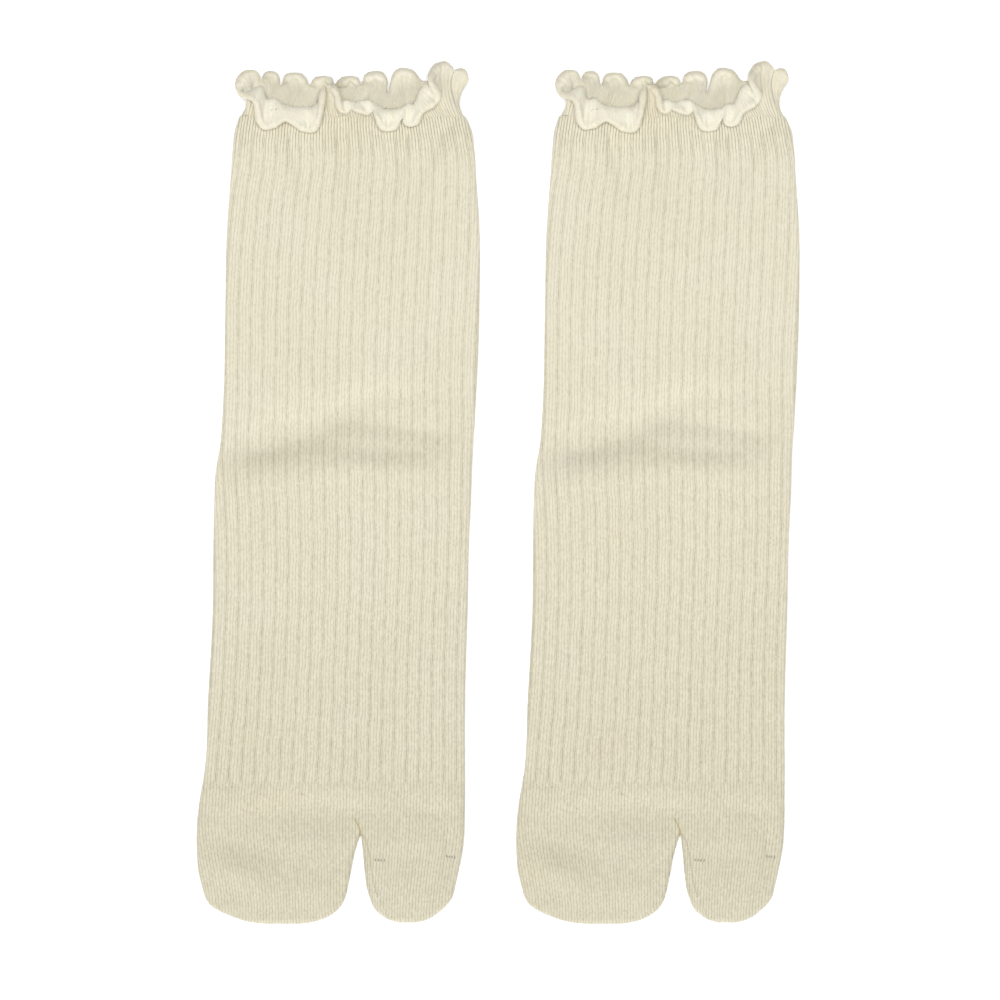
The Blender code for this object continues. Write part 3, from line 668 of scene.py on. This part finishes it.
for side, middle in SOCKS.items():
    cloth = Cloth()
    y_middle = np.linspace(LEG[0][0], CROTCH_TOP, round((LEG[0][0] - CROTCH_TOP) / ROW_STEP) + 1)
    outer, stitches = tube_rings(y_middle, 0.0)
    outer = raise_rib(outer, stitches)
    cloth.lay(outer, stitches)
    lay_toe(cloth, outer[-1], stitches[-1], 0.0)
    inner, inner_stitches = tube_rings(np.linspace(LEG[0][0], CROTCH_TOP + WALL, INNER_ROWS), WALL)
    cloth.lay(inner, inner_stitches)
    lay_toe(cloth, inner[-1], inner_stitches[-1], WALL)
    cloth.lay(np.stack([outer[0], inner[0]]), np.stack([stitches[0], inner_stitches[0]]))
    knit = cloth.piece(f"{side}_sock_knit", middle, rib_knit)
    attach(knit, "root")
    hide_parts(f"{side}_sock_tube", f"{side}_sock_toe")

# ------------------------------------------------
# Ruffle: a band of the same knit with more stitches than the mouth it is knitted on to, so that it stands
# in waves and folds over outwards. Its free edge is left unbound, and curls into a soft roll.

ruffle_knit = knit_material(
    "cream_cotton_ruffle_knit",
    face=("#d7d2c0", "#d6cfb9"),
    shade="#8f8468",
    valley_shade=0.03,
    rib=(0.0, 0.0, 900.0, 0.0),
    welt=(0.74, 3.0, 15.0),
    foot_painted_shade=0.0,
    speckle=0.08,
    sheen=0.35,
    # paler inner face and roll end: painted light on the shaded inside of the mouth and on the rolled edge
    inner=("#e3dfcd", 21.0, 3.0),
    soak=0.25,
)
LOBE_ROLL = 2.1  # radius of the rolled free edge on a lobe
SHOULDER_ROLL = 1.75
HOLLOW_ROLL = 1.25
NECK = 0.65  # of that radius, by which the band stops short of the roll's middle
RUFFLE_WALL = 1.15
ROOT_WALL = 1.34  # where it is knitted on to the mouth
ROOT_DEPTH = 0.5  # that its root reaches into the mouth's wall
SHOULDER_LEAN = 0.3  # of a lobe's sides towards the height of the hollows beside it
SHOULDER_BACK = 0.5  # of a lobe's half width, by which its sides stay behind its middle
CROWN_SPREAD = 0.6  # of a lobe's width, at its crown
ROOT_SPREAD = 0.5  # of a lobe's width, at its root
ROOM_KEPT = 0.76  # of the room beside a fold, filled by its roll and wall
RUFFLE_STEP = 0.6  # most between two columns of points, along the free edge
ROOT_STEP = 0.004  # share of the mouth's width over which its direction is read
RUFFLE_ROWS = 12  # from the root to the roll
ROLL_ANGLES = np.radians(np.linspace(-28.0, 208.0, 15))  # round the roll, from the outer face to the inner
TURNED_OUT = 0.35  # share of the way to the free edge over which the band turns from the mouth's direction
CURL = (0.5, 0.96)  # shares of that way between which it thickens into the roll
NORMAL_PASSES = 120  # of smoothing for the direction that the wall is thick in
EASINGS = 40  # most rounds of smoothing at places where the band would cut through itself
EASED_SHARES = (0.5, 0.18, 0.07)  # of a point, of each one beside it in its row, and of each in its column
FAR = 99.0  # set for a point and itself, so that only other points count
RUFFLE_STITCHES = 180  # round the mouth
ROLL_ROWS = (16.5, 22.0)  # rows of stitches that the roll takes; as many as on the outer face lie inside

# Folds in order round the mouth, from the left side fold along the front, round the right side fold and
# back along the rear. Root is the place on the mouth, 0 to 1 along the front and 1 to 2 along the rear. The
# cloth passes through the crown halfway to its free edge. A lobe of the edge has a half width and an aim,
# the angle from +X that it points to. A half width below 0 is a front lobe that stands up instead of
# folding over, and one of 0 is the hollow between two lobes.
FOLD_COLUMNS = ("root", "crown_x", "crown_y", "crown_z", "edge_x", "edge_y", "edge_z", "half", "aim")
FOLDS = (
    (0.000, -32.6, 148.4, 5.0, -35.4, 153.6, 5.6, 4.3, 148.0),
    (0.052, -28.6, 150.4, 8.2, -30.4, 145.6, 10.8, 0.0, 0.0),
    (0.130, -24.8, 146.2, 8.8, -25.5, 136.3, 7.4, 3.0, -90.0),
    (0.215, -19.5, 143.4, 9.0, -18.8, 138.9, 9.6, 0.0, 0.0),
    (0.310, -11.3, 142.7, 9.0, -11.0, 135.0, 7.4, 2.8, -90.0),
    (0.362, -7.3, 144.2, 8.6, -6.3, 141.2, 10.6, 0.0, 0.0),
    (0.400, -3.5, 144.9, 7.4, -3.5, 150.8, 11.6, -1.3, 90.0),
    (0.435, -0.6, 145.3, 7.6, -0.2, 147.9, 11.2, 0.0, 0.0),
    (0.475, 2.4, 145.3, 8.4, 3.3, 141.6, 8.2, 2.0, -80.0),
    (0.518, 6.5, 144.6, 7.8, 7.2, 142.2, 9.2, 0.0, 0.0),
    (0.560, 10.4, 145.6, 8.8, 11.2, 140.9, 8.0, 2.0, -90.0),
    (0.605, 13.9, 144.0, 8.4, 14.6, 140.4, 9.8, 0.0, 0.0),
    (0.665, 18.8, 141.9, 9.0, 19.0, 135.4, 7.4, 2.4, -90.0),
    (0.720, 24.0, 142.7, 9.0, 24.2, 139.1, 10.2, 0.0, 0.0),
    (0.765, 27.3, 144.2, 9.0, 27.0, 136.9, 7.5, 2.0, -90.0),
    (0.815, 29.9, 146.8, 8.8, 31.1, 141.5, 9.6, 0.0, 0.0),
    (0.865, 31.1, 149.4, 9.2, 36.8, 145.6, 9.6, 2.4, -31.0),
    (0.905, 35.2, 148.6, 7.2, 34.8, 152.7, 11.4, 0.0, 0.0),
    (0.940, 39.0, 148.6, 7.4, 38.6, 158.4, 8.4, -3.4, 106.0),
    (0.968, 42.0, 149.0, 6.6, 42.9, 155.6, 8.2, 0.0, 0.0),
    (1.000, 44.0, 148.6, 5.2, 46.4, 156.2, 6.6, -2.8, 60.0),
    (1.050, 44.4, 146.8, 2.6, 46.2, 151.8, 4.0, 0.0, 0.0),
    (1.120, 39.2, 146.8, 1.5, 40.4, 153.4, 1.8, 1.5, 90.0),
    (1.185, 33.3, 147.5, 1.8, 31.4, 152.2, 1.8, 0.0, 0.0),
    (1.265, 25.1, 148.6, 1.9, 25.0, 156.5, 5.4, 2.7, 90.0),
    (1.360, 18.4, 146.0, 3.0, 18.6, 148.8, 2.4, 0.0, 0.0),
    (1.450, 13.8, 147.9, 2.2, 13.9, 155.1, 5.6, 3.2, 90.0),
    (1.510, 9.1, 146.8, 3.0, 9.1, 151.8, 3.2, 0.0, 0.0),
    (1.575, 4.7, 147.5, 2.4, 4.7, 153.9, 5.8, 2.9, 90.0),
    (1.645, -0.6, 146.8, 2.6, -1.2, 151.6, 3.2, 0.0, 0.0),
    (1.690, -4.7, 147.5, 2.2, -5.2, 154.1, 5.2, 2.2, 90.0),
    (1.745, -9.7, 146.8, 2.8, -10.6, 151.2, 2.4, 0.0, 0.0),
    (1.815, -16.0, 148.2, 2.0, -16.1, 155.1, 5.2, 2.6, 90.0),
    (1.870, -20.6, 146.8, 2.4, -21.1, 151.2, 2.8, 0.0, 0.0),
    (1.920, -24.7, 148.6, 2.2, -25.3, 155.6, 5.2, 2.3, 90.0),
    (1.958, -28.5, 147.1, 2.8, -27.7, 152.7, 3.8, 0.0, 0.0),
)


def edge_stations():
    """The folds as stations round the mouth: three for each lobe and one for each hollow."""
    stations = []
    width = LEG[0][3] - LEG[0][2]
    folds = [dict(zip(FOLD_COLUMNS, row)) for row in FOLDS]
    for i, fold in enumerate(folds):
        crown = np.array([fold["crown_x"], fold["crown_y"], fold["crown_z"]])
        edge = np.array([fold["edge_x"], fold["edge_y"], fold["edge_z"]])
        aim = math.radians(fold["aim"])
        half = abs(fold["half"])
        outward = np.array([math.cos(aim), math.sin(aim), 0.0]) * half
        onward = np.array([-math.sin(aim), math.cos(aim), 0.0]) * fold["half"]
        for step in (-1, 0, 1) if half else (0,):
            beside = folds[(i + step) % len(folds)]
            crown_lift = np.array([0.0, 0.0, SHOULDER_LEAN * (beside["crown_z"] - fold["crown_z"])])
            edge_lift = np.array([0.0, 0.0, SHOULDER_LEAN * (beside["edge_z"] - fold["edge_z"])])
            back = outward * SHOULDER_BACK * abs(step)
            root = fold["root"] + step * ROOT_SPREAD * half / width
            stations.append(
                (
                    root,
                    crown + onward * step * CROWN_SPREAD + crown_lift,
                    edge + onward * step - back + edge_lift,
                    [SHOULDER_ROLL if step else LOBE_ROLL if half else HOLLOW_ROLL],
                )
            )
    return stations


def round_curve(values, places):
    """A closed smooth curve through rows of values, at places counted in rows."""
    i = np.floor(places).astype(int)
    t = (places - i)[:, None]
    before, here, ahead, after = (values[(i + k) % len(values)] for k in (-1, 0, 1, 2))
    a = 2 * t**3 - 3 * t**2 + 1
    b = t**3 - 2 * t**2 + t
    return a * here + b * (ahead - before) / 2 + (1 - a) * ahead + (t**3 - t**2) * (after - here) / 2


def mouth_middle(roots):
    """Middle of the mouth's wall at each place round it."""
    left, right = LEG[0][2], LEG[0][3]
    roots = np.asarray(roots) % 2.0
    rear = roots >= 1.0
    x = left + (right - left) * np.where(rear, 2.0 - roots, roots)
    top = FOLD - WALL / 2 + dome((x - left) / (right - left)) * lift(LEG[0][4], x, LEG[0][0])
    edge = np.minimum(x - left, right - x)
    out = np.clip(1 - edge / BEND, 0.0, 1.0)
    rise = np.sqrt(1 - out**2) * (BEND - WALL / 2)
    inward = WALL / 2 * out * np.where(x - left < BEND, 1, -1)
    on_fold = edge < BEND
    z = np.where(rear, WALL / 2, top)
    z = np.where(on_fold, np.where(rear, BEND - rise, BEND + rise), z)
    return np.stack([x + inward, np.full_like(x, LEG[0][0] - ROOT_DEPTH), z], axis=-1)


def smoothed(normal, passes):
    """Directions evened out along the free edge."""
    for _ in range(passes):
        normal = unit((np.roll(normal, 1, axis=0) + 2 * normal + np.roll(normal, -1, axis=0)) / 4)
    return normal


def neighbours(values, closed):
    """The rows before and after each row. An open list's ends stand in for what is beyond them."""
    ends = [(1, 1)] + [(0, 0)] * (values.ndim - 1)
    padded = np.pad(values, ends, mode="wrap" if closed else "edge")
    return padded[:-2], padded[2:]


def room(curve, closed):
    """Radius of the thickest tube round a curve that doesn't meet itself, at each of its points."""
    before, after = neighbours(curve, closed)
    onward = unit(after - before)
    apart = curve[None] - curve[:, None]
    aside = np.linalg.norm(np.cross(apart, onward[:, None]), axis=2)
    radius = (apart**2).sum(axis=2) / (2 * np.maximum(aside, 1e-9))
    radius = (radius + FAR * np.eye(len(curve))).min(axis=1)
    radius = np.minimum(radius, np.minimum(*neighbours(radius, closed)))
    for _ in range(2):
        radius = (2 * radius + sum(neighbours(radius, closed))) / 4
    return ROOM_KEPT * radius[:, None]


roots, crowns, edges, rolls = (np.array(column) for column in zip(*edge_stations()))
places = []
for i, edge in enumerate(edges):
    steps = math.ceil(np.linalg.norm(edges[(i + 1) % len(edges)] - edge) / RUFFLE_STEP)
    places.extend(i + k / steps for k in range(steps))
places = np.array(places)
root_places = np.interp(places, range(len(roots) + 1), [*roots, roots[0] + 2.0])
root = mouth_middle(root_places)
round_mouth = mouth_middle(root_places + ROOT_STEP) - mouth_middle(root_places - ROOT_STEP)
out_of_mouth = unit(np.cross(round_mouth, (0.0, 1.0, 0.0)))
crown, edge, roll_radius = (round_curve(values, places) for values in (crowns, edges, rolls))
roll_radius = np.minimum(roll_radius, room(edge, True))
control = 2 * crown - (root + edge) / 2
neck = 1.0 - NECK * roll_radius / np.linalg.norm(edge - control, axis=1, keepdims=True)
shares = [share * neck for share in np.linspace(0.0, 1.0, RUFFLE_ROWS)] + [np.ones_like(neck)]
grid = np.stack([(1 - t) ** 2 * root + 2 * t * (1 - t) * control + t * t * edge for t in shares], axis=1)
along = np.stack([(1 - t) * (control - root) + t * (edge - control) for t in shares], axis=1)
onward = unit(np.roll(grid, -1, axis=0) - np.roll(grid, 1, axis=0))
normal = smoothed(unit(np.cross(onward, along)), NORMAL_PASSES)
way_out = np.linspace(0.0, 1.0, RUFFLE_ROWS + 1)[None, :, None]
turning = ease(way_out, 0.0, TURNED_OUT)
normal = out_of_mouth[:, None, :] * (1 - turning) + normal * turning
normal = unit(normal - (normal * onward).sum(axis=2, keepdims=True) * onward)
curling = ease(way_out, *CURL)
neck_wall = 2 * roll_radius[:, :, None] * math.sqrt(1 - NECK**2)
thick = ROOT_WALL + (RUFFLE_WALL - ROOT_WALL) * turning + (neck_wall - RUFFLE_WALL) * curling
across_room = np.stack([room(row, True) for row in grid.transpose(1, 0, 2)], axis=1)
down_room = np.stack([room(column, False) for column in grid])
thick = np.minimum(thick, 2 * np.minimum(across_room, down_room))
outer_face = (grid + normal * thick / 2)[:, :-1]
inner_face = (grid - normal * thick / 2)[:, -2::-1]
ahead = np.cross(normal[:, -1], onward[:, -1])
roll = np.stack(
    [grid[:, -1] + roll_radius * (math.cos(a) * normal[:, -1] + math.sin(a) * ahead) for a in ROLL_ANGLES],
    axis=1,
)
band = np.concatenate([outer_face, roll, inner_face], axis=1)
columns, rows = band.shape[:2]
here = np.arange(columns * rows).reshape(columns, rows)
onward_faces = np.roll(here, -1, axis=0)
faces = np.stack([here, onward_faces, np.roll(onward_faces, -1, axis=1), np.roll(here, -1, axis=1)], axis=2)
faces = faces.reshape(-1, 4)
# each face cut in two along both of its diagonals
halves = np.concatenate([faces[:, [i % 4, (i + 1) % 4, (i + 2) % 4]] for i in range(4)]).tolist()
own_share, beside_share, below_share = EASED_SHARES
for _ in range(EASINGS):
    surface = BVHTree.FromPolygons(band.reshape(-1, 3).tolist(), halves)
    pairs = [(i, j) for i, j in surface.overlap(surface) if not set(halves[i]) & set(halves[j])]
    touching = [i % len(faces) for i, j in pairs]
    if not touching:
        break
    eased = np.unique((np.array(touching)[:, None] // rows + np.arange(-2, 4)) % columns)
    beside_columns = np.roll(band, 1, axis=0) + np.roll(band, -1, axis=0)
    beside_rows = np.roll(band, 1, axis=1) + np.roll(band, -1, axis=1)
    band[eased] = (own_share * band + beside_share * beside_columns + below_share * beside_rows)[eased]
band = np.concatenate([band, band[:, :1]], axis=1)
band = np.concatenate([band, band[:1]])
across = np.append(root_places, root_places[0] + 2.0) * RUFFLE_STITCHES / 2
down = np.concatenate(
    [
        np.linspace(0.0, ROLL_ROWS[0] - 0.5, RUFFLE_ROWS),
        np.linspace(*ROLL_ROWS, len(ROLL_ANGLES)),
        np.linspace(ROLL_ROWS[1] + 0.5, ROLL_ROWS[1] + ROLL_ROWS[0], RUFFLE_ROWS),
        [ROLL_ROWS[1] + ROLL_ROWS[0] + WALL / COURSE],
    ]
)
ruffle_map = np.stack(np.meshgrid(across, down, indexing="ij"), axis=2)
for side, middle in SOCKS.items():
    cloth = Cloth()
    cloth.lay(band, ruffle_map)
    ruffle = cloth.piece(f"{side}_sock_ruffle_band", middle, ruffle_knit)
    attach(ruffle, "root")
    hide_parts(f"{side}_sock_ruffle")

# ------------------------------------------------
# Linking stitches that close the big toe along its inner edge, in the same yarn, painted darker as the shade
# in the gaps between them; a short straw-coloured line of beads at the crotch, which is painted shade where
# one pocket overlaps the other; and two short grey marks of thread across the big toe. A few dark specks of
# cotton seed are caught in the yarn.

# Spun threads are matt all over, and the husks a little glossier than they are
# the linking thread is darker than the knit as painted shade between its stitches, and the straw thread is
# painted shade at the crotch
shaded_seam_yarn, crotch_shade_yarn, mark_yarn, seed_husk = (
    new_material(name, {"Base Color": linear(hue), "Roughness": roughness, "Specular IOR Level": 0.2})[0]
    for name, hue, roughness in (
        ("cream_linking_thread_painted_shade", "#bdb69d", 0.9),
        ("straw_painted_crotch_shade", "#b3a468", 0.9),
        ("grey_marking_thread", "#8d877e", 0.9),
        ("brown_cotton_seed_husk", "#8d7f68", 0.6),
    )
)


def beads_along(material):
    """Geometry nodes that set small rounded stitches along a path, each turned away from its direction."""
    tree = bpy.data.node_groups.new(f"stitches_of_{material.name}", "GeometryNodeTree")
    tree.interface.new_socket("Path", in_out="INPUT", socket_type="NodeSocketGeometry")
    for socket in ("Spacing", "Length", "Width", "Turn"):
        tree.interface.new_socket(socket, in_out="INPUT", socket_type="NodeSocketFloat")
    tree.interface.new_socket("Seed", in_out="INPUT", socket_type="NodeSocketInt")
    tree.interface.new_socket("Stitches", in_out="OUTPUT", socket_type="NodeSocketGeometry")
    given = add(tree, "NodeGroupInput").outputs
    curve = add(tree, "GeometryNodeMeshToCurve", {"Mesh": given["Path"]})
    evenly = {"Curve": curve.outputs[0], "Length": given["Spacing"]}
    even = add(tree, "GeometryNodeResampleCurve", evenly, mode="LENGTH")
    tangent = add(tree, "GeometryNodeInputTangent")
    facing = add(tree, "FunctionNodeAlignRotationToVector", {"Vector": tangent.outputs[0]}, axis="X")
    # inputs 2 and 3 of a random number are its least and its most
    askew = {2: -0.35, 3: 0.35, "Seed": given["Seed"]}
    loose = add(tree, "FunctionNodeRandomValue", askew, data_type="FLOAT")
    turn = add(tree, "ShaderNodeMath", {0: given["Turn"], 1: loose.outputs[1]}, operation="ADD")
    spin = add(tree, "ShaderNodeCombineXYZ", {2: turn.outputs[0]})
    turned = add(
        tree,
        "FunctionNodeRotateRotation",
        {"Rotation": facing.outputs[0], "Rotate By": spin.outputs[0]},
        rotation_space="LOCAL",
    )
    size = add(tree, "ShaderNodeCombineXYZ", {0: given["Length"], 1: given["Width"], 2: given["Width"]})
    bead = add(tree, "GeometryNodeMeshUVSphere", {"Segments": 8, "Rings": 6, "Radius": 0.5})
    placed = add(
        tree,
        "GeometryNodeInstanceOnPoints",
        {
            "Points": even.outputs[0],
            "Instance": bead.outputs[0],
            "Rotation": turned.outputs[0],
            "Scale": size.outputs[0],
        },
    )
    real = add(tree, "GeometryNodeRealizeInstances", {0: placed.outputs[0]})
    rounded = add(tree, "GeometryNodeSetShadeSmooth", {0: real.outputs[0]})
    dyed = add(tree, "GeometryNodeSetMaterial", {"Geometry": rounded.outputs[0], "Material": material})
    add(tree, "NodeGroupOutput", {"Stitches": dyed.outputs[0]})
    return tree


# Paths in the sock's own millimetres, with each one's spacing, length and width of a stitch, and its turn
SEAM_PATH = ((9.6, -127.5), (10.8, -130.0), (11.9, -135.0), (12.7, -140.5), (13.5, -146.0), (15.0, -150.5))
SPECKS = (
    ((-39.4, -109.5), (-39.0, -109.7)),
    ((-13.4, -112.1), (-13.0, -112.3)),
    ((-30.1, -117.6), (-29.7, -117.9)),
    ((-24.7, 141.8), (-24.2, 142.1)),
    ((-22.9, 142.2), (-22.5, 142.4)),
    ((17.6, 143.0), (18.1, 143.2)),
)
# painted shade where the big toe's pocket overlaps the other, as a line of straw beads at the crotch
CROTCH_SHADE_PATH = ((6.6, -121.8), (8.0, -124.8), (9.0, -127.6))
TOE_MARKS = (((14.0, -136.7), (17.4, -136.9)), ((40.6, -135.3), (43.6, -135.8)))
STITCHED = (
    ("linking_stitches", shaded_seam_yarn, (SEAM_PATH,), 0.9, 0.85, 0.4, 0.9),
    ("crotch_painted_shade", crotch_shade_yarn, (CROTCH_SHADE_PATH,), 0.62, 0.6, 0.45, 0.0),
    ("toe_marks", mark_yarn, TOE_MARKS, 0.95, 1.2, 0.42, 1.57),
    ("seed_specks", seed_husk, SPECKS, 0.5, 0.4, 0.3, 0.0),
)


def on_top(place, middle, surfaces):
    """The highest point of some surfaces above a place of the sock, in metres."""
    start = Vector((place[0] + middle, place[1] + MOUTHWARD, 50.0)) * MM
    hits = [surface.ray_cast(start, Vector((0.0, 0.0, -1.0)))[0] for surface in surfaces]
    return max((hit for hit in hits if hit), key=lambda hit: hit.z)


for side, middle in SOCKS.items():
    surfaces = []
    for name in (f"{side}_sock_knit", f"{side}_sock_ruffle_band"):
        shape = bmesh.new()
        shape.from_mesh(bpy.data.objects[name].data)
        surfaces.append(BVHTree.FromBMesh(shape))
        shape.free()
    for name, material, paths, spacing, length, width, turn in STITCHED:
        points = []
        edges = []
        for path in paths:
            first = len(points)
            for (x0, y0), (x1, y1) in zip(path, path[1:]):
                shares = np.linspace(0.0, 1.0, math.ceil(math.dist((x0, y0), (x1, y1))) + 1)
                for t in shares[len(points) > first :]:
                    points.append(on_top((x0 + (x1 - x0) * t, y0 + (y1 - y0) * t), middle, surfaces))
            edges += [(k, k + 1) for k in range(first, len(points) - 1)]
        mesh = bpy.data.meshes.new(name)
        mesh.from_pydata(points, edges, [])
        path_object = put_in_scene(name, mesh)
        tree = beads_along(material)
        modifier = path_object.modifiers.new("stitches", "NODES")
        modifier.node_group = tree
        sizes = {"Spacing": spacing * MM, "Length": length * MM, "Width": width * MM}
        sizes |= {"Turn": turn, "Seed": 7}
        for socket in tree.interface.items_tree:
            if socket.name in sizes:
                modifier[socket.identifier] = sizes[socket.name]
        evaluated = path_object.evaluated_get(bpy.context.evaluated_depsgraph_get())
        made = put_in_scene(f"{side}_sock_{name}", bpy.data.meshes.new_from_object(evaluated))
        bpy.data.objects.remove(path_object)
        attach(made, "root")

# ------------------------------------------------
# White surface beneath, which glows faintly so that shadows on it stay light. Soft light comes from beyond
# the toes and from overhead, and a little from beyond the right sock. The camera looks straight down.

WHITE = (1.0, 1.0, 1.0, 1.0)
FLOOR_HALF = 1.5
FLOOR_DROP = 0.0002  # below the socks, so that the two don't share a plane
floor_mesh = bpy.data.meshes.new("floor")
corners = ((-1, -1), (1, -1), (1, 1), (-1, 1))
places = [(x * FLOOR_HALF, y * FLOOR_HALF, -FLOOR_DROP) for x, y in corners]
floor_mesh.from_pydata(places, [], [(0, 1, 2, 3)])
# opal acrylic lit from beneath: matt, and even all over
acrylic = {"Base Color": linear("#f8f8f8"), "Roughness": 1.0}
acrylic |= {"Emission Color": WHITE, "Emission Strength": 0.15}
floor_mesh.materials.append(new_material("glowing_white_acrylic", acrylic)[0])
put_in_scene("floor", floor_mesh)

world = bpy.data.worlds.new("studio")
bpy.context.scene.world = world
world.use_nodes = True
background = world.node_tree.nodes["Background"].inputs
background["Color"].default_value = WHITE
background["Strength"].default_value = 0.2

for name, place, size, power in (
    ("beyond_toes", (-1.0, -2.85, 1.6), 1.8, 66.0),
    ("overhead", (0.0, 0.25, 3.0), 1.1, 70.0),
    ("beyond_right_sock", (2.4, -0.6, 0.9), 1.0, 10.0),
):
    light = bpy.data.lights.new(name, "AREA")
    light.size = size
    light.energy = power
    lamp = put_in_scene(name, light)
    lamp.location = place
    lamp.rotation_euler = (-Vector(place)).to_track_quat("-Z", "Y").to_euler()

camera = bpy.data.cameras.new("camera")
camera.lens = 241.5
camera.clip_end = 10.0
eye = put_in_scene("camera", camera)
eye.location = (0.0009, -0.0023, 2.5)
bpy.context.scene.camera = eye
bpy.context.scene.view_settings.view_transform = "Standard"
